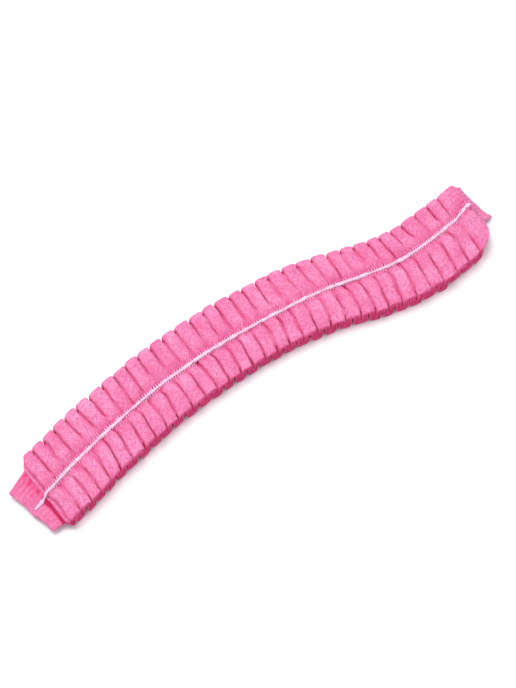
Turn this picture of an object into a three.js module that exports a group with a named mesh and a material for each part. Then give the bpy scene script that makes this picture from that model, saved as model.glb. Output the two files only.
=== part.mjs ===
// A disposable cap of pleated non-woven cloth, folded flat into a strip as it is supplied.
// One folded web of cloth goes up and down along the strip in upright pleats that stand side by
// side. An elastic is sewn along the middle of each face, over the tops of the pleats, and both
// ends of the web are welded flat. Millimetres, +Z up; the strip runs along X and rests on z = 0.
import * as THREE from 'three';

// The pleated web
const PLEATS = 34;
const PLEAT_PITCH = 5.3;
const PITCH_SPREAD = 0.06; // chance in each pleat's pitch, as a share of it
const LAST_PITCH = 8.5; // the last pleat is a wide, smooth roll
const STRIP_WIDTH = 27.5;
const STRIP_HEIGHT = 7;
const ROLL_SPREAD = 0.15; // chance in the height of each roll
const WEB_THICKNESS = 2; // all the plies of the folded web together
const BEND_RADIUS = 1.2; // to the middle of the web
const ROLL_GAP = 0.5; // clear space between two rolls
const VALLEY_FLAT = 0.2;
const SETTLE = 0.35; // depth of each valley that is pressed flat where the strip rests
const OUTER_STEPS = 3; // facets of a quarter turn on the outside of the web
const INNER_STEPS = 1;
const WIDTH_STEPS = 4;
const WIDTH_CROWDING = 1.9; // above 1 brings the steps across the strip closer to the elastic

// The turns from the first and the last pleat into the end seals
const END_RADIUS = 1.1;
const END_DROP = 0.7; // centre of such a turn below the centre of a roll
const END_STUB = 1;

// The corner of the last roll that is turned under, as a quarter of an ellipse
const CORNER_LENGTH = 14;
const CORNER_DEPTH = 10;

// Elastics
const ELASTIC_DIAMETER = 1.2;
const ELASTIC_SIDES = 8;
const ELASTIC_STEPS = 80;
const UPPER_PINCH = 1.2; // how far an elastic draws the rolls in
const LOWER_PINCH = 2;
const PINCH_REACH = 3; // from an elastic to where the rolls have their full height
const SHOULDER_START = 2.4; // beyond the end roll, where the upper elastic starts to rise
const SHOULDER_LENGTH = 4;

// End seals. A seal's cut edge is askew: by that share it is longer on its +Y side and shorter on
// the other. It narrows towards the cut edge, and droops, in degrees.
const LEFT_SEAL = { length: 6.5, width: 22.5, askew: 0.4, narrowing: 0.1, droop: 8 };
const RIGHT_SEAL = { length: 4, width: 26.5, askew: -0.25, narrowing: 0, droop: 25 };
const SEAL_THICKNESS = 0.9;
const SEAL_RIBS = 13;
const RIB_HEIGHT = 0.3;
const RIB_SHARE = 0.35; // width of a rib's crest as a share of the rib pitch
const SEAL_STEPS = 3;
const LEFT_TAIL = 5; // how far the upper elastic runs onto a seal
const RIGHT_TAIL = 1.2;
const LEFT_UNDER_TAIL = 4; // how far the lower elastic runs under a seal
const RIGHT_UNDER_TAIL = 1.5;

const PIECE_GAP = 0.3;
const PINK = 0xec74ac;
const ELASTIC_WHITE = 0xfbe9f2;

// How the strip lies, at shares of its length: its heading in the plane, from +X, the lean of its
// pleats, and their bow, by which both their outer ends lie back, in degrees; and how far the
// elastics lie aside from its middle. They change evenly from row to row.
const LIE = [
  { share: 0.05, heading: 13, lean: 12, bow: 0, aside: -0.6 },
  { share: 0.17, heading: 9, lean: 10.5, bow: 5, aside: -0.6 },
  { share: 0.29, heading: 5, lean: 6.5, bow: 3.5, aside: -0.6 },
  { share: 0.43, heading: -2, lean: 4.5, bow: 3, aside: -0.8 },
  { share: 0.57, heading: -9, lean: 2, bow: 5, aside: -1 },
  { share: 0.68, heading: -21, lean: -7, bow: 5.5, aside: 0.5 },
  { share: 0.74, heading: -18, lean: -9, bow: 6, aside: 1.1 },
  { share: 0.86, heading: 1, lean: 6, bow: 3, aside: 1.8 },
  { share: 0.95, heading: 3.5, lean: 9, bow: 0, aside: 2.3 },
];
const LIE_STEP = 0.5;

const CHANCE_TURN = 12.9898;
const CHANCE_SCALE = 43758.5453;

const halfWeb = WEB_THICKNESS / 2;
const halfHeight = STRIP_HEIGHT / 2;
const halfWidth = STRIP_WIDTH / 2;
const elasticRadius = ELASTIC_DIAMETER / 2;
const rollRadius = BEND_RADIUS + halfWeb;
const rollLevel = halfHeight - rollRadius;

// A repeatable chance value from -1 to 1 for each whole number.
function chance(index) {
  const value = Math.sin(index * CHANCE_TURN) * CHANCE_SCALE;
  return 2 * (value - Math.floor(value)) - 1;
}

function smoothStep(share) {
  return THREE.MathUtils.smoothstep(share, 0, 1);
}

// The bends of the web in order along the strip. A roll, way 1, turns over its centre and a
// valley, way -1, turns under it; flat is the straight web at the top or bottom of the turn.
// Heights are measured from the middle of the strip's thickness.
function webBends() {
  const endTurn = { way: -1, z: rollLevel - END_DROP, radius: END_RADIUS, flat: 0 };
  const list = [{ ...endTurn, x: 0 }];
  let edge = 0;
  for (let i = 0; i < PLEATS; i += 1) {
    const last = i === PLEATS - 1;
    const pitch = last ? LAST_PITCH : PLEAT_PITCH * (1 + PITCH_SPREAD * chance(i));
    const roll = { way: 1, x: edge + pitch / 2, radius: BEND_RADIUS };
    roll.z = rollLevel + ROLL_SPREAD * chance(PLEATS + i);
    roll.flat = pitch - ROLL_GAP - 2 * rollRadius;
    edge += pitch;
    const valley = { way: -1, z: -rollLevel - SETTLE, radius: BEND_RADIUS, flat: VALLEY_FLAT };
    list.push(roll, { ...(last ? endTurn : valley), x: edge });
  }
  return list;
}

// Slope of the straight web between two bends, which is the common tangent of the two.
function legSlope(from, to) {
  const run = to.x - from.x - (from.flat + to.flat) / 2;
  const rise = Math.abs(to.z - from.z);
  return Math.atan2(rise, run) + Math.asin((from.radius + to.radius) / Math.hypot(run, rise));
}

const bends = webBends();
bends.forEach((bend, i) => {
  bend.slopeIn = i > 0 ? bend.way * legSlope(bends[i - 1], bend) : 0;
  bend.slopeOut = i < bends.length - 1 ? -bend.way * legSlope(bend, bends[i + 1]) : 0;
});

const webLength = bends.at(-1).x;
const webStart = -END_STUB;
const webEnd = webLength + END_STUB;
const sealLevel = bends[0].z - END_RADIUS;
const leftRoot = webStart - PIECE_GAP;
const rightRoot = webEnd + PIECE_GAP;
const stripStart = leftRoot - LEFT_SEAL.length;
const stripLength = rightRoot + RIGHT_SEAL.length - stripStart;

// One side of the web round a bend: side 1 is its upper side and -1 its lower. Where the web has
// a slope, its point lies across from the bend's centre along the normal of that slope.
function bendSide(bend, side) {
  const turn = bend.way * side;
  const radius = bend.radius + turn * halfWeb;
  const steps = turn > 0 ? OUTER_STEPS : INNER_STEPS;
  const halves = [
    { slope: bend.slopeIn, shareAt: (step) => 1 - step / steps },
    { slope: bend.slopeOut, shareAt: (step) => step / steps },
  ].filter((half) => half.slope !== 0);
  return halves.flatMap(({ slope, shareAt }) => {
    const centre = bend.x - bend.way * Math.sign(slope) * bend.flat / 2;
    return Array.from({ length: steps + 1 }, (_, step) => {
      const angle = slope * shareAt(step);
      const x = centre - bend.way * radius * Math.sin(angle);
      return new THREE.Vector2(x, bend.z + bend.way * radius * Math.cos(angle));
    });
  });
}

// The closed outline of the web, seen from the strip's long side.
function webOutline() {
  const sideLine = (side) => [
    new THREE.Vector2(webStart, sealLevel + side * halfWeb),
    ...bends.flatMap((bend) => bendSide(bend, side)),
    new THREE.Vector2(webEnd, sealLevel + side * halfWeb),
  ];
  return [...sideLine(1), ...sideLine(-1).reverse()];
}

function lieAt(share, column) {
  const next = LIE.findIndex((row) => row.share > share);
  if (next === 0) return LIE[0][column];
  if (next === -1) return LIE.at(-1)[column];
  const [before, after] = [LIE[next - 1], LIE[next]];
  return THREE.MathUtils.mapLinear(share, before.share, after.share, before[column], after[column]);
}

function radiansAt(along, column) {
  return THREE.MathUtils.degToRad(lieAt((along - stripStart) / stripLength, column));
}

function asideAt(along) {
  return lieAt((along - stripStart) / stripLength, 'aside');
}

// The strip's middle line in the plane, followed in short steps along its headings.
const middleLine = [new THREE.Vector2()];
for (let along = stripStart; along < stripStart + stripLength; along += LIE_STEP) {
  const heading = radiansAt(along + LIE_STEP / 2, 'heading');
  const step = new THREE.Vector2(Math.cos(heading), Math.sin(heading)).multiplyScalar(LIE_STEP);
  middleLine.push(middleLine.at(-1).clone().add(step));
}

// Where a place on the straight strip lies: along it, across it, and up from mid-height.
function laid(along, across, height) {
  const leant = along + across * Math.tan(radiansAt(along, 'lean'))
    - Math.abs(across) * Math.tan(radiansAt(along, 'bow'));
  const place = (leant - stripStart) / LIE_STEP;
  const index = THREE.MathUtils.clamp(Math.floor(place), 0, middleLine.length - 2);
  const middle = middleLine[index].clone().lerp(middleLine[index + 1], place - index);
  const heading = radiansAt(leant, 'heading');
  return new THREE.Vector3(
    middle.x - across * Math.sin(heading),
    middle.y + across * Math.cos(heading),
    halfHeight + height,
  );
}

// The strip narrows on one side where the corner of its last roll is turned under.
function cornered(along, across) {
  const share = THREE.MathUtils.clamp((along - webEnd) / CORNER_LENGTH + 1, 0, 1);
  const cut = CORNER_DEPTH * (1 - Math.sqrt(1 - share ** 2));
  return across < 0 ? across * (1 - cut / halfWidth) : across;
}

// Height of the web at a distance off the elastics, which draw the rolls in from above and below.
function pinched(off, height) {
  const pull = 1 - smoothStep(Math.abs(off) / PINCH_REACH);
  const pinch = height > 0 ? UPPER_PINCH : LOWER_PINCH;
  return height * (1 - pull * pinch / halfHeight);
}

// Moves every vertex of a geometry by a function of its x, y and z.
function reshaped(geometry, place) {
  const position = geometry.getAttribute('position');
  const vertex = new THREE.Vector3();
  for (let i = 0; i < position.count; i += 1) {
    vertex.fromBufferAttribute(position, i);
    position.setXYZ(i, ...place(vertex).toArray());
  }
  geometry.computeVertexNormals();
  return geometry;
}

function crownGeometry() {
  const options = { depth: 2, steps: WIDTH_STEPS, bevelEnabled: false };
  const web = new THREE.ExtrudeGeometry(new THREE.Shape(webOutline()), options);
  web.translate(0, 0, -1);
  web.rotateX(Math.PI / 2);
  return reshaped(web, ({ x, y, z }) => {
    const off = halfWidth * Math.sign(y) * Math.abs(y) ** WIDTH_CROWDING;
    const across = asideAt(x) + off * (1 - Math.sign(y) * asideAt(x) / halfWidth);
    const height = Math.max(pinched(off, z), -halfHeight);
    return laid(x, cornered(x, across), height);
  });
}

// How far a seal has come down at a distance beyond its root.
function droopAt(beyond, degrees) {
  return beyond * Math.tan(THREE.MathUtils.degToRad(degrees));
}

// The section of a seal: a flat strap with welded ribs on top, which run along the strip.
function sealOutline(width) {
  const ribPitch = width / SEAL_RIBS;
  const top = SEAL_THICKNESS / 2;
  const points = [new THREE.Vector2(width / 2, -top), new THREE.Vector2(width / 2, top)];
  for (let rib = SEAL_RIBS - 1; rib >= 0; rib -= 1) {
    const middle = (rib + 1 / 2) * ribPitch - width / 2;
    const crest = ribPitch * RIB_SHARE / 2;
    points.push(new THREE.Vector2(middle + crest, top + RIB_HEIGHT));
    points.push(new THREE.Vector2(middle - crest, top + RIB_HEIGHT));
    points.push(new THREE.Vector2(middle - ribPitch / 2, top));
  }
  points.push(new THREE.Vector2(-width / 2, -top));
  return points;
}

// A seal that reaches outwards, -1 or 1, from its root at the web's end.
function sealGeometry({ length, width, askew, narrowing, droop }, root, outwards) {
  const options = { depth: length, steps: SEAL_STEPS, bevelEnabled: false };
  const strap = new THREE.ExtrudeGeometry(new THREE.Shape(sealOutline(width)), options);
  return reshaped(strap, ({ x, y, z }) => {
    const beyond = outwards > 0 ? z : length - z;
    const along = root + outwards * beyond * (1 + askew * x / (width / 2));
    const across = cornered(along, x * (1 - narrowing * beyond / length));
    return laid(along, across, sealLevel + y - droopAt(beyond, droop));
  });
}

// Height of the middle of the seals, or of the web's ends, along the strip.
function sealHeight(along) {
  const left = droopAt(Math.max(leftRoot - along, 0), LEFT_SEAL.droop);
  const right = droopAt(Math.max(along - rightRoot, 0), RIGHT_SEAL.droop);
  return sealLevel - left - right;
}

// The upper elastic runs over the pinched rolls and comes down over the end rolls to the seals.
function upperElasticHeight(along) {
  const clear = PIECE_GAP + elasticRadius;
  const onRolls = pinched(0, halfHeight + ROLL_SPREAD) + clear;
  const onSeal = sealHeight(along) + SEAL_THICKNESS / 2 + RIB_HEIGHT + clear;
  const inside = Math.min(along, webLength - along);
  return THREE.MathUtils.lerp(onSeal, onRolls, smoothStep((inside + SHOULDER_START) / SHOULDER_LENGTH));
}

function lowerElasticHeight(along) {
  const clear = PIECE_GAP + elasticRadius;
  const underRolls = pinched(0, -halfHeight - SETTLE) - clear;
  const underSeal = sealHeight(along) - SEAL_THICKNESS / 2 - clear;
  const inside = Math.min(along, webLength - along);
  return THREE.MathUtils.lerp(underSeal, underRolls, smoothStep(inside / PINCH_REACH));
}

function elasticGeometry(start, end, heightAt) {
  const points = Array.from({ length: ELASTIC_STEPS + 1 }, (_, step) => {
    const along = THREE.MathUtils.lerp(start, end, step / ELASTIC_STEPS);
    return laid(along, asideAt(along), heightAt(along));
  });
  const section = new THREE.Shape(Array.from({ length: ELASTIC_SIDES }, (_, side) => {
    const angle = 2 * Math.PI * side / ELASTIC_SIDES;
    return new THREE.Vector2(Math.cos(angle), Math.sin(angle)).multiplyScalar(elasticRadius);
  }));
  const extrudePath = new THREE.CatmullRomCurve3(points);
  return new THREE.ExtrudeGeometry(section, { steps: ELASTIC_STEPS, extrudePath });
}

const cloth = { color: PINK, roughness: 0.92, metalness: 0 };
const yarn = { color: ELASTIC_WHITE, roughness: 0.7, metalness: 0 };
const cap = new THREE.Group();

function addPiece(name, geometry, look) {
  const mesh = new THREE.Mesh(geometry, new THREE.MeshStandardMaterial(look));
  mesh.name = name;
  cap.add(mesh);
}

addPiece('crown', crownGeometry(), cloth);
addPiece('end_seal_left', sealGeometry(LEFT_SEAL, leftRoot, -1), cloth);
addPiece('end_seal_right', sealGeometry(RIGHT_SEAL, rightRoot, 1), cloth);
addPiece(
  'elastic_upper',
  elasticGeometry(leftRoot - LEFT_TAIL, rightRoot + RIGHT_TAIL, upperElasticHeight),
  yarn,
);
addPiece(
  'elastic_lower',
  elasticGeometry(leftRoot - LEFT_UNDER_TAIL, rightRoot + RIGHT_UNDER_TAIL, lowerElasticHeight),
  yarn,
);

// The origin is at the middle of the strip's box, on the surface that it rests on.
const box = new THREE.Box3().setFromObject(cap);
cap.position.set(-(box.min.x + box.max.x) / 2, -(box.min.y + box.max.y) / 2, -box.min.z);

export default cap;
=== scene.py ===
import math
import bpy
import numpy as np
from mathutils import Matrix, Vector


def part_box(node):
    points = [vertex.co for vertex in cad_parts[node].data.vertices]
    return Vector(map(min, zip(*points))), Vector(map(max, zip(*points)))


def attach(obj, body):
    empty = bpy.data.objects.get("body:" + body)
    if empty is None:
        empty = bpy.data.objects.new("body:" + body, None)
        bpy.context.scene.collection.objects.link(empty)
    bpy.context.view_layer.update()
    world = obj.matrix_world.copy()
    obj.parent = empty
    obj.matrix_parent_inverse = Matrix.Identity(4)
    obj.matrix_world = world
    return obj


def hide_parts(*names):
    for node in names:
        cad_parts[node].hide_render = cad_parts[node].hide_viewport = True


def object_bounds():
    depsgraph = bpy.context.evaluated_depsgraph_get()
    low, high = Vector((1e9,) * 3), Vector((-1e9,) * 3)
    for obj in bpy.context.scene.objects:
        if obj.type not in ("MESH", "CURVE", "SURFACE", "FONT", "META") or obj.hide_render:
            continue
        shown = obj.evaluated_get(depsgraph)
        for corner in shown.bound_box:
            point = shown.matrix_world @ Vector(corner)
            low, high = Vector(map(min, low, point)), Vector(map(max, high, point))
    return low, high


# A disposable cap of pleated pink non-woven cloth, folded flat into a strip as it is supplied.
# The strip lies along X on the surface z = 0, with the face that shows upwards. All lengths are
# in metres, so a size in millimetres is written with MM.
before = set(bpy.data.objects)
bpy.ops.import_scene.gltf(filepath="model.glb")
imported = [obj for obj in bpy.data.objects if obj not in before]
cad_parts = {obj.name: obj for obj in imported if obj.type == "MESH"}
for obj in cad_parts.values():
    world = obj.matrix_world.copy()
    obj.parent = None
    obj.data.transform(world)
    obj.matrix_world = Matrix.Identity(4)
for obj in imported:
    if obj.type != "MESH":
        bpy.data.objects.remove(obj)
cad_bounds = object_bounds()
MM = 0.001

# ---------------------------------------------------------------------------------------------
# Camera. It looks down on the strip from beside its left end, so that the strip runs from the
# lower left of the picture to the upper right.
camera_azimuth = math.radians(-38.7)
camera_elevation = math.radians(60)
camera_distance = 0.6
picture_share = 0.88  # of the picture's width that the strip takes up
sensor_width = 36.0

low_corner, high_corner = (np.array(corner, dtype=float) for corner in cad_bounds)
strip_centre = (low_corner + high_corner) / 2
seen_width = float(high_corner[0] - low_corner[0]) * math.cos(camera_azimuth)
camera_back = np.array([
    math.sin(camera_azimuth) * math.cos(camera_elevation),
    -math.cos(camera_azimuth) * math.cos(camera_elevation),
    math.sin(camera_elevation),
])

camera_data = bpy.data.cameras.new("camera")
camera_data.sensor_fit = "HORIZONTAL"
camera_data.sensor_width = sensor_width
camera_data.lens = sensor_width * picture_share * camera_distance / seen_width
camera_data.clip_start = 0.01
camera = bpy.data.objects.new("camera", camera_data)
bpy.context.scene.collection.objects.link(camera)
camera.location = Vector(strip_centre + camera_back * camera_distance)
camera.rotation_euler = Vector(camera_back).to_track_quat("Z", "Y").to_euler()
bpy.context.scene.camera = camera

# ---------------------------------------------------------------------------------------------
# The hems of the cap: the upper and the lower ply of the folded web, one on each face. The web is
# soft pink spunbond cloth. It goes up and down along the strip in upright pleats, as a chain of
# bends, over a roll and under a valley in turn, joined by straight legs that touch both bends.
pleats = 34
pleat_pitch = 5.3 * MM
pitch_spread = 0.06  # the share by which chance changes a pitch
last_pitch = 8.5 * MM
half_width = 13.75 * MM
half_height = 3.5 * MM
roll_spread = 0.15 * MM  # by which chance raises or lowers a roll
half_web = 1.0 * MM
bend_radius = 1.2 * MM  # to the middle of the web
roll_gap = 0.5 * MM
valley_flat = 0.2 * MM
settle = 0.35 * MM  # depth of each valley that is pressed flat where the strip rests
end_radius = 1.1 * MM  # of the turn from the first or the last roll towards a seal
end_drop = 0.7 * MM  # centre of such a turn below the centre of a roll
end_stub = 1.0 * MM  # straight web between such a turn and the seal
left_seal_length = 6.5 * MM
right_seal_length = 4 * MM
seal_gap = 0.3 * MM

roll_radius = bend_radius + half_web
roll_level = half_height - roll_radius


def chance(index):
    """A repeatable value from -1 to 1 for each whole number: the fraction of a large sine."""
    chance_turn, chance_scale = 12.9898, 43758.5453
    value = np.sin(index * chance_turn) * chance_scale
    return 2 * (value - np.floor(value)) - 1


def smooth(share):
    """0 below 0 and 1 above 1, and three squares less two cubes of the share between."""
    s = np.clip(share, 0, 1)
    return s * s * (3 - 2 * s)


rolls = np.arange(pleats)
pitches = pleat_pitch * (1 + pitch_spread * chance(rolls))
pitches[-1] = last_pitch
roll_edges = np.concatenate([[0], np.cumsum(pitches)])

# The bends in order: a valley, or an end turn, at each even place and a roll at each odd one
bend_count = 2 * pleats + 1
bend_way = np.where(np.arange(bend_count) % 2 == 1, 1.0, -1.0)
bend_x = np.empty(bend_count)
bend_x[0::2] = roll_edges
bend_x[1::2] = roll_edges[:-1] + pitches / 2
bend_z = np.full(bend_count, -roll_level - settle)
bend_z[1::2] = roll_level + roll_spread * chance(pleats + rolls)
bend_z[[0, -1]] = roll_level - end_drop
bend_r = np.full(bend_count, bend_radius)
bend_r[[0, -1]] = end_radius
bend_flat = np.full(bend_count, valley_flat)
bend_flat[1::2] = pitches - roll_gap - 2 * roll_radius
bend_flat[[0, -1]] = 0

# Slope of each leg, which is the common tangent of its two bends
leg_run = np.diff(bend_x) - (bend_flat[:-1] + bend_flat[1:]) / 2
leg_rise = np.abs(np.diff(bend_z))
leg_slope = np.arctan2(leg_rise, leg_run) + np.arcsin(
    (bend_r[:-1] + bend_r[1:]) / np.hypot(leg_run, leg_rise))
slope_in = bend_way * np.concatenate([[0], leg_slope])
slope_out = -bend_way * np.concatenate([leg_slope, [0]])

web_start = -end_stub
web_end = roll_edges[-1] + end_stub
left_root = web_start - seal_gap
right_root = web_end + seal_gap
strip_start = left_root - left_seal_length
strip_length = right_root + right_seal_length - strip_start
seal_level = bend_z[0] - end_radius

# How the strip lies, at shares of its length: its heading in the plane, the lean of its pleats and
# their bow, by which both their outer ends lie back, in degrees; and how far the elastics lie
# aside from its middle, in millimetres.
lie_share, lie_heading, lie_lean, lie_bow, lie_aside = np.array([
    (0.05, 13, 12, 0, -0.6),
    (0.17, 9, 10.5, 5, -0.6),
    (0.29, 5, 6.5, 3.5, -0.6),
    (0.43, -2, 4.5, 3, -0.8),
    (0.57, -9, 2, 5, -1),
    (0.68, -21, -7, 5.5, 0.5),
    (0.74, -18, -9, 6, 1.1),
    (0.86, 1, 6, 3, 1.8),
    (0.95, 3.5, 9, 0, 2.3),
]).T
lie_step = 0.5 * MM
line_along = np.arange(strip_start, strip_start + strip_length + lie_step, lie_step)


def lie_at(along, column):
    """A column of the table of how the strip lies, at a length along the strip."""
    return np.interp((along - strip_start) / strip_length, lie_share, column)


line_heading = np.radians(lie_at(line_along[:-1] + lie_step / 2, lie_heading))
line_x = np.concatenate([[0], np.cumsum(np.cos(line_heading) * lie_step)])
line_y = np.concatenate([[0], np.cumsum(np.sin(line_heading) * lie_step)])


def laid(along, across, height):
    """Where a place on the straight strip lies: the pleats lean and bow as the place goes
    across, the middle line is followed for the length along it, and across is measured square
    to it."""
    lean, bow = np.radians(lie_at(along, lie_lean)), np.radians(lie_at(along, lie_bow))
    leant = along + across * np.tan(lean) - np.abs(across) * np.tan(bow)
    inside = np.clip(leant, line_along[0], line_along[-1])
    heading = np.radians(lie_at(leant, lie_heading))
    beyond = leant - inside
    x = np.interp(inside, line_along, line_x) + beyond * np.cos(heading)
    y = np.interp(inside, line_along, line_y) + beyond * np.sin(heading)
    return np.stack([
        x - across * np.sin(heading),
        y + across * np.cos(heading),
        half_height + height + 0 * x,
    ], axis=-1)


# The strip's place in the frame comes from the corners of the left end seal, which narrows
# towards its cut edge and is longer on its +Y side.
seal_half_width = 13.25 * MM
left_half_width = 11.25 * MM
left_askew = 0.4
left_narrowing = 0.1
both_sides = np.array([-1, 1])
seal_corners = np.concatenate([
    laid(left_root, left_half_width * both_sides, 0),
    laid(left_root - left_seal_length * (1 + left_askew * both_sides),
         left_half_width * (1 - left_narrowing) * both_sides, 0)])
cad_seal_corner = np.array(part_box("end_seal_left")[0], dtype=float)
place = np.array([*(cad_seal_corner[:2] - seal_corners[:, :2].min(axis=0)), 0])


def varied(a, b, mean, spread, size, seed):
    """A value that varies with place by smooth chance, from its mean less its spread to its mean
    plus its spread. Over two lengths, a net of squares of a size has a random value at each
    corner, and these are blended smoothly between the corners."""
    net_size = 64
    net = np.random.default_rng(seed).uniform(-1, 1, (net_size, net_size))
    row, column = np.broadcast_arrays(a / size, b / size)
    row0, column0 = np.floor(row).astype(int), np.floor(column).astype(int)
    p, q = smooth(row - row0), smooth(column - column0)

    def corner(down, right):
        return net[(row0 + down) % net_size, (column0 + right) % net_size]

    near = corner(0, 0) * (1 - q) + corner(0, 1) * q
    far = corner(1, 0) * (1 - q) + corner(1, 1) * q
    return mean + spread * (near * (1 - p) + far * p)


def skin(name, points, texture_map, depth, material):
    """A closed skin over a grid of points, with rows along the strip and columns round it from
    the top towards +Y: four neighbours make a face, the columns close on themselves, and one
    face closes each end. depth says how deep each point lies between the plies, 0 to 1, or in a
    sharp crease, above 1, and sets how much painted shade the cloth gets there."""
    row_count, column_count = points.shape[:2]
    index = np.arange(row_count * column_count).reshape(row_count, column_count)
    beside = np.roll(index, -1, axis=1)
    quads = np.stack([index[:-1], index[1:], beside[1:], beside[:-1]], axis=-1).reshape(-1, 4)
    faces = quads.tolist() + [index[0].tolist(), index[-1, ::-1].tolist()]
    mesh = bpy.data.meshes.new(name)
    mesh.from_pydata((points + place).reshape(-1, 3), [], faces)
    loops = np.empty(len(mesh.loops), dtype=np.int32)
    mesh.loops.foreach_get("vertex_index", loops)
    uv = mesh.uv_layers.new(name="cloth")
    uv.data.foreach_set("uv", texture_map.reshape(-1, 2)[loops].ravel())
    deep = mesh.attributes.new("depth", "FLOAT", "POINT")
    deep.data.foreach_set("value", (depth + np.zeros((row_count, column_count))).ravel())
    mesh.polygons.foreach_set("use_smooth", np.ones(len(mesh.polygons), dtype=bool))
    mesh.materials.append(material)
    piece = bpy.data.objects.new(name, mesh)
    bpy.context.scene.collection.objects.link(piece)
    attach(piece, "root")
    return piece


def from_ends(along):
    """How far a place is inside the nearer end of the rolls, and less than 0 beyond it."""
    return np.minimum(along, roll_edges[-1] - along)


def to_edge(across, reach):
    """The share of the way to a long edge, from 0 at a reach inside it to 1 at the edge."""
    return np.clip((np.abs(across) - half_width) / reach + 1, 0, 1)


def side_place(off):
    """Where smooth chance is read for one side of an elastic, far from where it is for the
    other, so that the two sides differ."""
    return np.sign(off) * 20 * MM


# Where the elastics draw the rolls in. Each elastic wanders a little across the strip.
UPPER = 1
LOWER = 2
upper_pinch = 0.95 * MM
lower_pinch = 2.0 * MM
pinch_reach = 4.2 * MM


def elastic_across(along, face):
    """How far the elastic of a face lies from the strip's middle: aside as the strip lies, with
    a long and a short wander by smooth chance, and a smooth step further on the last roll."""
    step_start, step_length, step_aside = web_end - 9 * MM, 7 * MM, 1.3 * MM
    step = step_aside * smooth((along - step_start) / step_length)
    long_wander = varied(along, 0, mean=0, spread=0.3 * MM, size=17 * MM, seed=11 + face)
    short_wander = varied(along, 0, mean=0, spread=0.1 * MM, size=2.3 * MM, seed=13 + face)
    return lie_at(along, lie_aside) * MM + long_wander + short_wander + step


def pinched(off, height, share=1):
    """Height of the web at a distance off an elastic: a smooth dip from above and from below, or
    a share of it."""
    pull = share * (1 - smooth(np.abs(off) / pinch_reach))
    pinch = np.where(height > 0, upper_pinch, lower_pinch)
    return height * (1 - pull * pinch / half_height)


corner_length = 14 * MM
corner_depth = 10 * MM
draw_in_length = 2.6 * MM


def cornered(along, across):
    """How far across a place lies in the strip's outline. The strip narrows on one side where
    the corner of its last roll is turned under, as a quarter of an ellipse, and smoothly on both
    sides at the left seal, which draws it in."""
    share = np.clip((along - web_end) / corner_length + 1, 0, 1)
    cut = corner_depth * (1 - np.sqrt(1 - share ** 2))
    drawn_in = (1 - left_half_width / seal_half_width) * smooth(0.5 - along / draw_in_length)
    return np.where(across < 0, across * (1 - cut / half_width), across) * (1 - drawn_in)


def nearness(along, off):
    """1 at an elastic and 0 far from it, as a bell curve over a reach that varies from roll to
    roll and from one side of the elastic to the other."""
    reach = varied(along, side_place(off), mean=4.6 * MM, spread=2.6 * MM, size=6.5 * MM, seed=33)
    return np.exp(-(off / reach) ** 2)


def groove_limit(along, across, off):
    """How deep the grooves between the rolls of an outer face go. Beside an elastic the cloth
    bridges them. They get deeper with the distance off the elastic, as a smooth step from a
    start and over a reach that vary from groove to groove, and are open at the long edges and
    the strip's ends."""
    side = side_place(off)
    start = varied(along, side, mean=0.5 * MM, spread=1.7 * MM, size=4.1 * MM, seed=34)
    reach = varied(along, side, mean=3.9 * MM, spread=2.4 * MM, size=5.7 * MM, seed=35)
    longer_reach = 0.8 * MM * np.sign(off)  # on the +Y side
    depth = varied(along, across, mean=1.15 * MM, spread=0.6 * MM, size=4.7 * MM, seed=37)
    deepened = depth * smooth((np.abs(off) - start) / (reach + longer_reach))
    open_edge, open_end = smooth(to_edge(across, 2.2 * MM)), smooth(1.5 - from_ends(along) / MM)
    least_depth, open_depth = 0.2 * MM, 8 * MM
    return least_depth + deepened + open_depth * np.maximum(open_edge, open_end)


def swayed(along, across):
    """Where along the strip the bends lie at a place across it. They follow an S, as the cube of
    the way across, waver with chance, and close to the elastics on their -Y side lie further
    back, as a bell curve, where the sewing has pushed the cloth along."""
    s_curve = 0.35 * MM * (across / half_width) ** 3
    off = across - lie_at(along, lie_aside) * MM
    pushed = 0.5 * MM * np.exp(-((off + 1.2 * MM) / (2 * MM)) ** 2)
    long_waver = varied(along, across, mean=0, spread=0.8 * MM, size=13 * MM, seed=21)
    short_waver = varied(along, across, mean=0, spread=0.3 * MM, size=4.8 * MM, seed=22)
    return along + s_curve - pushed + long_waver + short_waver


stitch_pitch = 1.0 * MM


def gathers(along, off, sunk):
    """How far the cloth beside an elastic is drawn in, 0 to 1: a sharp dip for each stitch, of a
    depth that varies with chance, and longer puckers at random, where smooth chance along the
    strip is near 0. Both fade outwards and down into the grooves."""
    under_elastic = 0.5 * MM
    side = side_place(off)
    beside = np.maximum(np.abs(off) - under_elastic, 0)
    drift = varied(along, off + side, mean=0, spread=2.4, size=3.1 * MM, seed=32)
    wave = 0.5 + 0.5 * np.cos(2 * np.pi * along / stitch_pitch + drift)
    strength = varied(along, side, mean=0.7, spread=0.6, size=1.3 * MM, seed=36)
    dip_reach = varied(along, side, mean=1.2 * MM, spread=0.9 * MM, size=1.9 * MM, seed=31)
    dips = strength * np.exp(-(beside / dip_reach) ** 1.5) * wave ** 2
    pucker_depth, pucker_width = 0.9, 0.22
    lines = varied(along, off / 4 + side, mean=0, spread=1, size=1.7 * MM, seed=39)
    pucker = pucker_depth * np.maximum(1 - np.abs(lines) / pucker_width, 0)
    pucker_reach = varied(along, side, mean=3.2 * MM, spread=2 * MM, size=4.3 * MM, seed=38)
    puckers = pucker * np.exp(-(beside / pucker_reach) ** 2)
    in_groove = np.exp(-(sunk / (0.6 * MM)) ** 2)
    return np.maximum(dips, puckers) * in_groove * smooth(from_ends(along) / (1.5 * MM))


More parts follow.
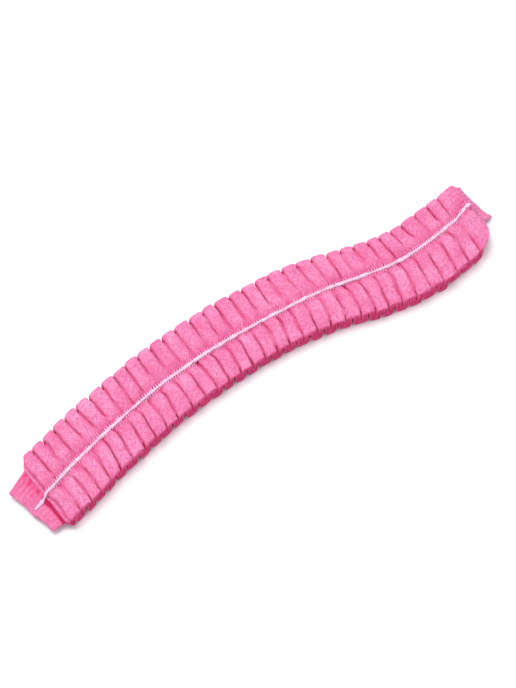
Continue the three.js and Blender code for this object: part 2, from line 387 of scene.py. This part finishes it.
def soft_form(along, across, height, path, off, facing):
    """The form of soft pleats. Towards the long edges each bend gets wider and sags, as the square
    of the way there, so that the rolls close up, and its corners at the very edge are rounded as
    a quarter of a circle. Beside an elastic the rolls dip, a dip that fades out over the straight
    ends of the web. Of an outer face what lies below the rolls' tops sinks no deeper than the
    groove limit, as that limit times the tanh of their ratio, with the cloth spread evenly along
    where the limit is small. The underside stops at the surface below. Gives each point's place,
    its height, and how far the gathers draw it in."""
    edge_reach, corner_reach, bridge_depth = 2.5 * MM, 0.9 * MM, 0.45 * MM
    at_edge = to_edge(across, edge_reach) ** 2
    corner = 1 - np.sqrt(1 - to_edge(across, corner_reach) ** 2)
    limit = groove_limit(along, across, off)
    bridged = np.minimum(1.5 * np.exp(-limit / bridge_depth), 1) * (facing != 0)
    along = along + (path["spread"] - along) * bridged
    widening, drawing_in = 0.12 * at_edge, 0.24 * corner
    along = along + (widening - drawing_in) * (along - path["middle"])
    sagging = at_edge * varied(along, across, mean=0.12, spread=0.05, size=3.3 * MM, seed=24)
    dip_share = smooth(1 + from_ends(along) / end_stub)
    height = pinched(off, height * (1 - sagging), dip_share)
    face = np.where(facing == 0, 1, facing)
    top = np.abs(pinched(off, face * half_height, dip_share))
    sunk = top - face * height
    sunk = np.where(facing == 0, sunk, limit * np.tanh(sunk / limit))
    drawn = np.where(facing == 0, 0, gathers(along, off, sunk))
    gather_depth = 0.24 * MM
    height = face * (top - sunk - gather_depth * drawn)
    lift = varied(along, across, mean=0, spread=0.16 * MM, size=8 * MM, seed=23)
    height = np.maximum(height + lift * smooth(height / roll_level), -half_height)
    return laid(swayed(along, across), cornered(along, across), height), height, drawn


def web_path(roll_steps, valley_steps):
    """The web's path in order along the strip. Round each bend its slope goes from that of the
    leg before to that of the leg after, slowly over the middle, and the bend's centre slides
    along its flat. Gives for each step the bend's values, the slope, and the place along the
    strip if the cloth were spread evenly there, with nearly all of it on the rolls."""
    counts = np.where(bend_way > 0, roll_steps, valley_steps)
    bend = np.repeat(np.arange(bend_count), counts)
    first = np.repeat(np.cumsum(counts) - counts, counts)
    turn = 2 * (np.arange(counts.sum()) - first) / (counts[bend] - 1) - 1
    slope = np.where(turn < 0, slope_in[bend], slope_out[bend]) * np.abs(turn) ** 1.5
    slide = bend_flat[bend] / 2 * turn
    slide += end_stub * np.where(bend == 0, np.minimum(turn, 0), 0)
    slide += end_stub * np.where(bend == bend_count - 1, np.maximum(turn, 0), 0)
    way, radius = bend_way[bend], bend_r[bend]
    x, z = bend_x[bend] + slide, bend_z[bend]
    roll_share = 1.15 * MM
    spread = bend_x[bend] + turn * (bend_flat[bend] / 2 + half_web + way * roll_share)
    web_x = x - way * radius * np.sin(slope)
    values = dict(middle=bend_x[bend], x=x, z=z, web_x=web_x, slope=slope, way=way,
                  radius=radius, spread=spread)
    return {key: value[:, None] for key, value in values.items()}


def crowded(edge, points, crowding):
    """Places across a face from one edge to the other, closer together in the middle: the share
    of the way to the edge to a power, spread out a little there."""
    share = np.linspace(-1, 1, points)
    spread_out = 1 + 0.35 * (1 - share ** 2)
    return edge * np.sign(share) * np.abs(share) ** crowding * spread_out


def section_ring(upper_face, lower_face, fold_radius, fold_points):
    """The ring of a flat section: across its upper face, round one fold, back across its lower
    face and round the other. Gives how far across each point is, its height from -1 to 1, and 1
    on the upper face, -1 on the lower and 0 on the folds."""
    fold = np.linspace(0, np.pi, fold_points + 2)[1:-1]
    near, far = upper_face[0], upper_face[-1]
    across = np.concatenate([
        upper_face, far + fold_radius * np.sin(fold),
        lower_face[::-1], near - fold_radius * np.sin(fold)])
    counts = [len(upper_face), fold_points, len(lower_face), fold_points]
    sign = np.repeat([1, 0, -1, 0], counts)
    level = sign + np.concatenate([
        np.zeros(counts[0]), np.cos(fold), np.zeros(counts[2]), -np.cos(fold)])
    return across, level, sign


def crease_shade(along, across):
    """How much painted shade the crease at an end seal gets. At the left end it is dark on the -Y
    side and goes over, smoothly at the elastic, into dashes on the +Y side. At the right end it
    hardly shows."""
    left_dark, right_dark = 1.5, 0.05
    dark = smooth(0.5 - across / (2 * MM))
    dashes = varied(across, along / 3, mean=0.7, spread=0.6, size=0.7 * MM, seed=45)
    return np.where(along < 0, left_dark * dark + (1 - dark) * dashes, right_dark)


rib_pitch = 1.7 * MM


def last_ribs(along, across):
    """How strongly the weld's ribs show on the end of the last roll, -1 to 1: a wave across the
    strip, a little uneven, that fades in over the roll's last part and on its +Y side."""
    wavy = across + varied(along, across, mean=0, spread=0.3 * MM, size=2.2 * MM, seed=44)
    ending = smooth((along - roll_edges[-1] + 4.8 * MM) / (1.4 * MM))
    return np.cos(2 * np.pi * wavy / rib_pitch) * ending * smooth(across / (4 * MM))


def dents(length, across):
    """Soft dents of the cloth: smooth chance over squares of three sizes added up, from hollows a
    few millimetres wide down to small creases."""
    sizes = ((0.20 * MM, 3.4 * MM, 41), (0.10 * MM, 1.6 * MM, 42), (0.05 * MM, 0.8 * MM, 43))
    return sum(varied(length, across, 0, depth, size, seed) for depth, size, seed in sizes)


def uneven_edge(across, path, seed):
    """How far the folds at the long edges stand out, by smooth chance that all plies share and
    chance of the ply's own. It fades inwards, as a power of the way to the edge, and the upright
    legs lie further in, as a power of the sine of their slope."""
    fold_power, leg_power = 12, 6
    at_fold = np.abs(across / half_width) ** fold_power * np.sign(across)
    shared = varied(path["web_x"], across, mean=0, spread=0.35 * MM, size=5 * MM, seed=50)
    own = varied(path["web_x"], across, mean=0, spread=0.25 * MM, size=2.2 * MM, seed=seed)
    leg_inset = 0.2 * MM * np.abs(np.sin(path["slope"])) ** leg_power
    return at_fold * (shared + own - leg_inset)


def ply_painted_shade(along, across, height, drawn, ribs, facing, way):
    """How much painted shade each point of a ply gets, as how deep it lies between the others: more
    the nearer it is to the web's middle, and at the folds, gathers and ribs. The web's straight ends
    have only the painted shade of their crease."""
    fold_least, fold_more, roll_less = 0.45, 0.65, 0.1
    off_end = smooth(0.4 + from_ends(along) / (0.5 * MM))
    depth = smooth(1.15 - np.abs(height) / half_height) * off_end
    depth = np.where(facing == 0, fold_least + fold_more * depth - roll_less * way, depth)
    gather_painted_shade, rib_painted_shade = 0.45 * drawn, 0.5 * np.maximum(-ribs, 0) ** 2
    crease_painted_shade = 0.4 * smooth(-along / MM - 0.4) * crease_shade(along, across)
    return np.maximum(depth + gather_painted_shade + rib_painted_shade, crease_painted_shade)


def cloth_ply(name, upper, lower, steps, points, crowding, edge_seed, material):
    """One ply of the web: its section carried along the web's path, each point lying across from
    the centre of its bend at the bend's radius and its own height in the web, on bends that are
    squarer than round, as powers of the sine and cosine of the slope. The outer face has dents
    and the weld's ribs on its bends, and the gathers beside the elastic. The texture map follows
    the cloth's own length."""
    outer_level = 0.9 * half_web  # beyond which a face is one of the web's own two
    last_rib_height = 0.16 * MM
    bend_power, less_at_elastic = 0.5, 0.04
    path = web_path(*steps)
    slope, way = path["slope"], path["way"]
    half_ply = (upper - lower) / 2
    faces = [crowded(half_width - half_ply, count, crowding) for count in points]
    across, level, sign = section_ring(*faces, half_ply, fold_points=3)
    level = (upper + lower) / 2 + half_ply * level
    across = across + uneven_edge(across, path, edge_seed)
    facing = np.where(np.abs(level) > outer_level, sign, 0)
    side = np.where(facing == 0, way, facing)
    elastics = (elastic_across(path["web_x"], face) for face in (UPPER, LOWER))
    off = across - np.where(side > 0, *elastics)
    ribs = last_ribs(path["spread"], across)
    relief = dents(path["spread"], across) + last_rib_height * ribs
    relief = np.where(facing * way > 0, relief, 0) * smooth(1 + from_ends(path["x"]) / end_stub)
    power = bend_power - less_at_elastic * nearness(path["web_x"], off)
    radius = path["radius"] + way * level + relief
    turn_x = np.sign(slope) * np.abs(np.sin(slope)) ** power
    turn_z = np.sign(np.cos(slope)) * np.abs(np.cos(slope)) ** power
    along = path["x"] - way * radius * turn_x
    height = path["z"] + way * radius * turn_z
    # The cloth's own length is measured along one line of a face, half way out to its edge
    ruler = np.argmin(np.abs(across[0] - half_width / 2) + (facing == 0) * half_width)
    steps_long = np.hypot(np.diff(along[:, ruler]), np.diff(height[:, ruler]))
    length = np.concatenate([[0], np.cumsum(steps_long)])[:, None]
    form, height, drawn = soft_form(along, across, height, path, off, facing)
    # The painted shade of each point, carried to the material by the depth attribute
    depth = ply_painted_shade(along, across, height, drawn, ribs, facing, way)
    texture_map = np.stack(np.broadcast_arrays(length, across), axis=-1)
    return skin(name, form, texture_map, depth, material)


def new_material(name):
    """A new material, with its node tree and its main shader."""
    material = bpy.data.materials.new(name)
    material.use_nodes = True
    tree = material.node_tree
    return material, tree, tree.nodes["Principled BSDF"]


def connect(tree, node, inputs):
    """Sets each input of a shader node to a value, or links it to another node's output."""
    for key, value in inputs.items():
        if isinstance(value, bpy.types.NodeSocket):
            tree.links.new(value, node.inputs[key])
        else:
            node.inputs[key].default_value = value


def shader_node(tree, kind, inputs, **settings):
    """A new shader node of a kind, with its settings and its inputs."""
    node = tree.nodes.new("ShaderNode" + kind)
    for key, value in settings.items():
        setattr(node, key, value)
    connect(tree, node, inputs)
    return node


def cloth_place(tree):
    """The piece's own texture map, which follows its cloth or thread."""
    return shader_node(tree, "UVMap", {}, uv_map="cloth").outputs["UV"]


def stretched(tree, vector, turn, along=1, across=1):
    """Coordinates in millimetres, turned by some degrees and stretched."""
    return shader_node(tree, "Mapping", {
        "Rotation": (0, 0, math.radians(turn)),
        "Scale": (1000 * along, 1000 * across, 1000),
        "Vector": vector,
    }).outputs["Vector"]


def noise(tree, vector, scale, detail):
    """Smooth chance from 0 to 1, at a scale and with finer layers in it."""
    inputs = {"Scale": scale, "Detail": detail, "Vector": vector}
    return shader_node(tree, "TexNoise", inputs).outputs["Fac"]


def combined(tree, operation, first, second):
    """Two values added, subtracted or multiplied."""
    return shader_node(tree, "Math", {0: first, 1: second}, operation=operation).outputs["Value"]


def ranged(tree, value, low, high, to_low=0, to_high=1):
    """The range from low to high, as a range from to_low to to_high."""
    inputs = {"From Min": low, "From Max": high, "To Min": to_low, "To Max": to_high,
              "Value": value}
    return shader_node(tree, "MapRange", inputs).outputs["Result"]


def mixed(tree, factor, first, second):
    """A colour from the first, at a factor of 0, to the second, at a factor of 1."""
    inputs = {"Factor": factor, "A": first, "B": second}
    return shader_node(tree, "Mix", inputs, data_type="RGBA").outputs["Result"]


def nonwoven(name, dark, light, deep, weld=0.0):
    """Spunbond cloth: two pinks in soft clouds, crossed fine fibres, and a net of small round
    bond points pressed into it. Deep between the plies, at depths up to 1, it is painted a deep
    red shade, standing in for the light that comes through other plies and the shade there, and
    in a sharp crease, at depths above 1, a darker painted shadow. weld is how much the fibres are
    melted flat."""
    material, tree, shader = new_material(name)
    cloth_uv = cloth_place(tree)
    plain = stretched(tree, cloth_uv, turn=0)

    fibre_ways = ((24, 1.1, 7), (-31, 1.1, 7), (82, 1.3, 8))  # turn, along and across the fibres
    first, second, third = (
        noise(tree, stretched(tree, cloth_uv, *way), scale=1.0, detail=3) for way in fibre_ways)
    fibres = combined(tree, "ADD", combined(tree, "ADD", first, second), third)
    fibres = combined(tree, "MULTIPLY", fibres, 1 / len(fibre_ways))
    bonds = shader_node(tree, "TexVoronoi", {
        "Scale": 1.05, "Randomness": 0.12, "Vector": stretched(tree, cloth_uv, turn=45)})
    bond = ranged(tree, bonds.outputs["Distance"], low=0.16, high=0.34, to_low=1, to_high=0)
    wide_clouds = combined(tree, "MULTIPLY", noise(tree, plain, scale=0.13, detail=2), 0.4)
    small_clouds = combined(tree, "MULTIPLY", noise(tree, plain, scale=0.9, detail=3), 0.6)
    clouds = combined(tree, "ADD", wide_clouds, small_clouds)

    tone = combined(tree, "ADD", clouds, combined(tree, "MULTIPLY", fibres, 0.8))
    tone = combined(tree, "SUBTRACT", tone, combined(tree, "MULTIPLY", bond, 0.08))
    depth = shader_node(tree, "Attribute", {}, attribute_name="depth").outputs["Fac"]
    pinks = mixed(tree, ranged(tree, tone, low=0.8, high=1.15), dark, light)
    # Painted shade: the pinks go towards deep red with depth, and to a darker painted shadow in
    # sharp creases
    painted_shade_mix = mixed(tree, ranged(tree, depth, low=0.1, high=0.9, to_high=0.9), pinks, deep)
    painted_crease_shadow = (0.65 * deep[0], 0.25 * deep[1], 0.42 * deep[2], 1)
    colour = mixed(tree, ranged(tree, depth, low=0.9, high=1.4), painted_shade_mix, painted_crease_shadow)
    smoother = 0.25 * weld
    roughness = ranged(tree, combined(tree, "ADD", fibres, bond), low=0.3, high=1.4,
                       to_low=0.94 - smoother, to_high=0.66 - smoother)

    pressed = shader_node(tree, "Bump", {
        "Strength": 0.5, "Distance": 0.07 * MM, "Height": bond}, invert=True)
    hairs = shader_node(tree, "Bump", {
        "Strength": 1.0 - 0.5 * weld,
        "Distance": 0.18 * MM,
        "Height": combined(tree, "ADD", fibres, combined(tree, "MULTIPLY", clouds, 1.5)),
        "Normal": pressed.outputs["Normal"],
    })
    connect(tree, shader, {
        "Base Color": colour,
        "Roughness": roughness,
        "Normal": hairs.outputs["Normal"],
        "Sheen Weight": 0.08,
        "Sheen Roughness": 0.5,
        "Sheen Tint": (1, 0.7, 0.84, 1),
        "Specular IOR Level": 0.2,
        "Subsurface Weight": 0.5,
        "Subsurface Radius": (1.0, 0.25, 0.45),
        "Subsurface Scale": 1.6 * MM,
    })
    return material


# The deep red painted as shade between the plies, and darkened into painted shadow in creases
painted_shade_crimson = (0.73, 0.05, 0.20, 1)
cloth = nonwoven("pink_nonwoven", (0.705, 0.145, 0.32, 1), (0.92, 0.38, 0.60, 1), painted_shade_crimson)
ply_thickness = 0.6 * MM
hem_upper = cloth_ply(
    "hem_upper", half_web, half_web - ply_thickness,
    steps=(24, 8), points=(64, 10), crowding=1.4, edge_seed=51, material=cloth)
hem_lower = cloth_ply(
    "hem_lower", -half_web + ply_thickness, -half_web,
    steps=(8, 24), points=(10, 64), crowding=1.4, edge_seed=52, material=cloth)
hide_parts("crown")
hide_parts("crown")

# ---------------------------------------------------------------------------------------------
# The crown of the cap, of the same cloth, folded up small between the two hems. Only its folds
# show, between those of the hems, along the long edges of the strip.
crown_body = cloth_ply(
    "crown_body", ply_thickness / 2, -ply_thickness / 2,
    steps=(12, 12), points=(14, 14), crowding=1.1, edge_seed=53, material=cloth)
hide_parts("crown")

# ---------------------------------------------------------------------------------------------
# The elastics: a cord covered with white yarn along the middle of each face, sewn down over the
# rolls and pressed flat where its left end is welded into the end seal.
elastic_half_width = 0.52 * MM
elastic_half_height = 0.36 * MM
elastic_sunk = 0.22 * MM
elastic_on_tab = 0.12 * MM  # middle of the pressed elastic above the tab
left_droop, right_droop = math.tan(math.radians(8)), math.tan(math.radians(25))
seal_half_thickness = 0.45 * MM
elastic_step = 0.2 * MM


def seal_height(along):
    """Height of the middle of a seal: it falls evenly from its root outwards."""
    return (seal_level - left_droop * np.maximum(left_root - along, 0)
            - right_droop * np.maximum(along - right_root, 0))


def elastic_path(start, end, face):
    """The middle of the elastic of a face: over the pinched rolls, and down over the end rolls to
    a seal as a smooth step. Gives the place along, across and up, and how far it is off the
    seals, 0 to 1."""
    way, step_out, step_length = (
        (1, 2.6 * MM, 2.9 * MM) if face == UPPER else (-1, 3.4 * MM, 2.4 * MM))
    along = np.linspace(start, end, int((end - start) / elastic_step))
    on_rolls = pinched(0, way * half_height) + way * (elastic_half_height - elastic_sunk)
    on_seal = seal_height(along) + way * (seal_half_thickness + elastic_on_tab)
    off_seal = smooth((from_ends(along) + step_out) / step_length)
    return along, elastic_across(along, face), on_seal + (on_rolls - on_seal) * off_seal, off_seal


def round_turn(points):
    """Evenly spaced angles once round a section."""
    return np.arange(points) / points * 2 * np.pi


def carried(centre, half_side, half_up, points):
    """An oval ring of points round each point of a line: half_side to each side and half_up up
    and down, square to the line."""
    forward = np.gradient(centre, axis=0)
    forward /= np.linalg.norm(forward, axis=1, keepdims=True)
    side = np.cross((0, 0, 1), forward)
    side /= np.linalg.norm(side, axis=1, keepdims=True)
    up = np.cross(forward, side)
    turn = round_turn(points)
    return (centre[:, None] + (half_side * np.sin(turn))[..., None] * side[:, None]
            + (half_up * np.cos(turn))[..., None] * up[:, None])


def elastic(name, start, end, face, material):
    """The cord: an oval carried along the elastic's path, drawn in at each stitch, thicker and
    thinner by smooth chance and tapered at its start, with the covering yarn as ridges that wind
    round it, and pressed thin on the seals."""
    points, ridges, wind_length = 14, 4, 1.1 * MM
    pressed_width, pressed_height, tapered = 0.9, 0.45, 0.4
    along, across, height, off_seal = elastic_path(start, end, face)
    turn = round_turn(points)
    wound = 0.05 * np.cos(ridges * turn + 2 * np.pi * along[:, None] / wind_length)
    drawn_in = 0.13 * off_seal[:, None] * np.cos(2 * np.pi * along[:, None] / stitch_pitch)
    thick = (varied(along, 0, mean=1, spread=0.25, size=2.7 * MM, seed=61)
             + varied(along, 0, mean=0, spread=0.3, size=0.9 * MM, seed=62))
    thick = thick * (tapered + (1 - tapered) * smooth((along - start) / (1.5 * MM)))
    swell = (1 + wound - drawn_in) * thick[:, None]
    full = off_seal[:, None]
    half_side = elastic_half_width * swell * (pressed_width + (1 - pressed_width) * full)
    half_up = elastic_half_height * swell * (pressed_height + (1 - pressed_height) * full)
    form = carried(laid(along, across, height), half_side, half_up, points)
    texture_map = np.stack(np.broadcast_arrays(along[:, None], turn * elastic_half_width), axis=-1)
    return skin(name, form, texture_map, 0, material)


def yarn(name, colour, shade, wind):
    """Covered elastic: white yarn in fine winds, slanted by some degrees, a little darker between
    them and where the white is worn."""
    material, tree, shader = new_material(name)
    slanted = stretched(tree, cloth_place(tree), wind)
    winds = shader_node(tree, "TexWave", {"Scale": 1.4, "Distortion": 1.2, "Vector": slanted})
    whiter = ranged(tree, noise(tree, slanted, scale=0.8, detail=3), low=0.38, high=0.64)
    light = shader_node(tree, "Math", {0: winds.outputs["Fac"], 1: 0.4, 2: whiter},
                        operation="MULTIPLY_ADD", use_clamp=True)
    bump = shader_node(tree, "Bump", {
        "Strength": 0.6, "Distance": 0.08 * MM, "Height": winds.outputs["Fac"]})
    connect(tree, shader, {
        "Base Color": mixed(tree, light.outputs["Value"], shade, colour),
        "Normal": bump.outputs["Normal"],
        "Roughness": 0.6,
        "Sheen Weight": 0.2,
        "Subsurface Weight": 0.15,
        "Subsurface Radius": (1.0, 0.8, 0.9),
        "Subsurface Scale": 0.4 * MM,
    })
    return material


white_yarn = yarn("white_yarn", (1.0, 0.73, 0.90, 1), (0.92, 0.30, 0.52, 1), wind=35)
upper_tail = 5 * MM  # by which the elastic runs onto the left seal
lower_tail = 4 * MM
elastic_end = web_end - 0.6 * MM
elastic_upper = elastic("elastic_cord_upper", left_root - upper_tail, elastic_end, UPPER, white_yarn)
elastic_lower = elastic("elastic_cord_lower", left_root - lower_tail, elastic_end, LOWER, white_yarn)
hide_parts("elastic_upper")
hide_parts("elastic_lower")

# ---------------------------------------------------------------------------------------------
# The overcast stitches that sew each elastic down: one thread that winds over the elastic and
# down through the cloth on either side of it, over and over along the strip.
thread_radius = 0.11 * MM
stitch_half_width = 1.05 * MM
stitch_half_height = 0.44 * MM
stitch_sunk = 0.08 * MM
stitches_from_end = 1.2 * MM  # of the web


def overcast(name, face, material):
    """A spiral round the elastic, one turn to a stitch and a little uneven, with its crossings
    slanted, as a thin round thread carried along it."""
    steps_in_turn, points = 14, 6
    start, end = web_start + stitches_from_end, web_end - stitches_from_end
    turns = int((end - start) / stitch_pitch)
    turn = np.linspace(0, turns, turns * steps_in_turn + 1)
    along = start + stitch_pitch * turn
    path_along, path_across, path_height, _ = elastic_path(left_root, right_root, face)
    across = np.interp(along, path_along, path_across)
    height = np.interp(along, path_along, path_height)
    uneven = varied(along, 0, mean=1, spread=0.4, size=1.7 * MM, seed=71 + face)
    way = 1 if face == UPPER else -1
    across = across + stitch_half_width * uneven * np.sin(2 * np.pi * turn)
    height = height + way * (stitch_half_height * np.cos(2 * np.pi * turn) - stitch_sunk)
    slant = 0.25 * stitch_pitch * np.sin(2 * np.pi * turn)
    form = carried(laid(along + slant, across, height), thread_radius, thread_radius, points)
    around = round_turn(points) * thread_radius
    texture_map = np.stack(np.broadcast_arrays(along[:, None], around), axis=-1)
    return skin(name, form, texture_map, 0, material)


sewing_thread = yarn("sewing_thread", (0.98, 0.62, 0.80, 1), (0.92, 0.42, 0.62, 1), wind=20)
stitches_upper = overcast("stitches_upper", UPPER, sewing_thread)
stitches_lower = overcast("stitches_lower", LOWER, sewing_thread)

# ---------------------------------------------------------------------------------------------
# The end seals: the ends of the web, all plies welded flat into one thin tab with close ribs
# that run along the strip. The web's thickness goes down to the tab's in a hard crease.
seal_overlap = 0.8 * MM
crease_length = 1.1 * MM
rib_height = 0.3 * MM


def end_seal(name, root, outwards, shape, fall, seed, material):
    """A tab: its section is a thin flat oval with rounded ribs, carried outwards from the web.
    It is nearly as thick as the web at its root, and its cut end is thin and slightly ragged.
    Its shape gives its length, where its two sides lie across the strip, the share by which it
    is longer on its +Y side and shorter on the other, and the share by which it narrows towards
    its cut edge. The ribs are sines to a power, and fade towards the cut edge and on the -Y
    side."""
    seal_length, near_side, far_side, askew, narrowing = shape
    rows, upper_points, lower_points = 44, 150, 90
    root_half, cut_end, least_share = 0.9 * half_web, 0.22 * MM, 0.12
    rib_start, rib_rise, rib_power, least_rib, lower_rib_share = 0.2 * MM, 1.2 * MM, 0.7, 0.3, 0.6
    beyond = np.linspace(-seal_overlap, seal_length, rows)[:, None]
    if outwards < 0:
        beyond = beyond[::-1]
    thin = smooth((beyond + seal_overlap) / (seal_overlap + crease_length))
    half = root_half * (1 - thin) + seal_half_thickness * thin
    half = half * np.sqrt(np.clip((seal_length - beyond) / cut_end, least_share, 1))
    near_edge, far_edge = near_side + seal_half_thickness, far_side - seal_half_thickness
    across, level, _ = section_ring(
        np.linspace(near_edge, far_edge, upper_points),
        np.linspace(near_edge, far_edge, lower_points), seal_half_thickness, fold_points=5)
    wavy = across + varied(beyond, across, mean=0, spread=0.28 * MM, size=2.6 * MM, seed=seed)
    clear = smooth(across / (4 * MM)) * smooth(1.4 - beyond / (4 * MM))
    crimped = smooth((beyond - rib_start) / rib_rise) * (least_rib + (1 - least_rib) * clear)
    rib = np.abs(np.sin(np.pi * wavy / rib_pitch)) ** rib_power * crimped
    relief = level * rib * rib_height * np.where(level > 0, 1, lower_rib_share)
    warp = varied(beyond, across, mean=0, spread=0.25 * MM, size=6 * MM, seed=seed + 2) * thin
    height = seal_level - fall * np.maximum(beyond, 0) + half * level + relief + warp
    ragged = varied(across, 0, mean=0, spread=0.22 * MM, size=1.3 * MM, seed=seed + 1)
    ragged = ragged * smooth(beyond / seal_length)
    along = root + outwards * (beyond * (1 + askew * across / seal_half_width) + ragged)
    drawn_in = across * (1 - narrowing * beyond / seal_length)
    form = laid(swayed(along, across), drawn_in, height)
    texture_map = np.stack(np.broadcast_arrays(beyond, across), axis=-1)
    # Painted shade in the crease at the root, and painted shade in the hollows between the ribs,
    # carried by the depth attribute
    crease_painted_shade = smooth(1.5 - beyond / (1.5 * MM)) * crease_shade(along, across)
    depth = np.maximum(crease_painted_shade, 0.9 * (crimped - rib))
    return skin(name, form, texture_map, depth, material)


weld = nonwoven("pink_weld", (0.66, 0.135, 0.30, 1), (0.81, 0.28, 0.47, 1), painted_shade_crimson, weld=0.6)
turned_under = seal_half_width * (1 - corner_depth / half_width)
right_askew = -0.55
right_longer = 1.1  # as a share of the seal's length: soft cloth that is drawn out in the weld
left_shape = (left_seal_length, -left_half_width, left_half_width, left_askew, left_narrowing)
right_shape = (right_longer * right_seal_length, -turned_under, seal_half_width, right_askew, 0)
seal_left = end_seal("weld_tab_left", left_root, -1, left_shape, left_droop, 81, weld)
seal_right = end_seal("weld_tab_right", right_root, 1, right_shape, right_droop, 91, weld)
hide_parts("end_seal_left")
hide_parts("end_seal_right")

# ---------------------------------------------------------------------------------------------
# Floor and light: a plain pale floor, an even pale surround, and one large soft lamp above the
# strip, a little behind it.
floor_level = -0.05 * MM
floor_half_width = 2
floor_corners = ((-1, -1), (1, -1), (1, 1), (-1, 1))
floor_mesh = bpy.data.meshes.new("floor")
floor_mesh.from_pydata(
    [(floor_half_width * x, floor_half_width * y, floor_level) for x, y in floor_corners],
    [], [(0, 1, 2, 3)])
floor = bpy.data.objects.new("floor", floor_mesh)
bpy.context.scene.collection.objects.link(floor)
floor_material, floor_tree, floor_shader = new_material("floor")
connect(floor_tree, floor_shader, {"Base Color": (0.93, 0.93, 0.93, 1), "Roughness": 0.8})
floor_mesh.materials.append(floor_material)

world = bpy.data.worlds.new("studio")
world.use_nodes = True
connect(world.node_tree, world.node_tree.nodes["Background"], {
    "Color": (0.95, 0.97, 1, 1), "Strength": 0.72})
bpy.context.scene.world = world

lamp_distance = 1.0
lamp_way = Vector((-0.1, 0.45, 1.6)).normalized()
lamp_data = bpy.data.lights.new("key", "AREA")
lamp_data.size = 0.7
lamp_data.energy = 8.5
lamp = bpy.data.objects.new("key", lamp_data)
bpy.context.scene.collection.objects.link(lamp)
lamp.location = Vector(strip_centre) + lamp_way * lamp_distance
lamp.rotation_euler = lamp_way.to_track_quat("Z", "Y").to_euler()
bpy.context.scene.view_settings.view_transform = "Standard"
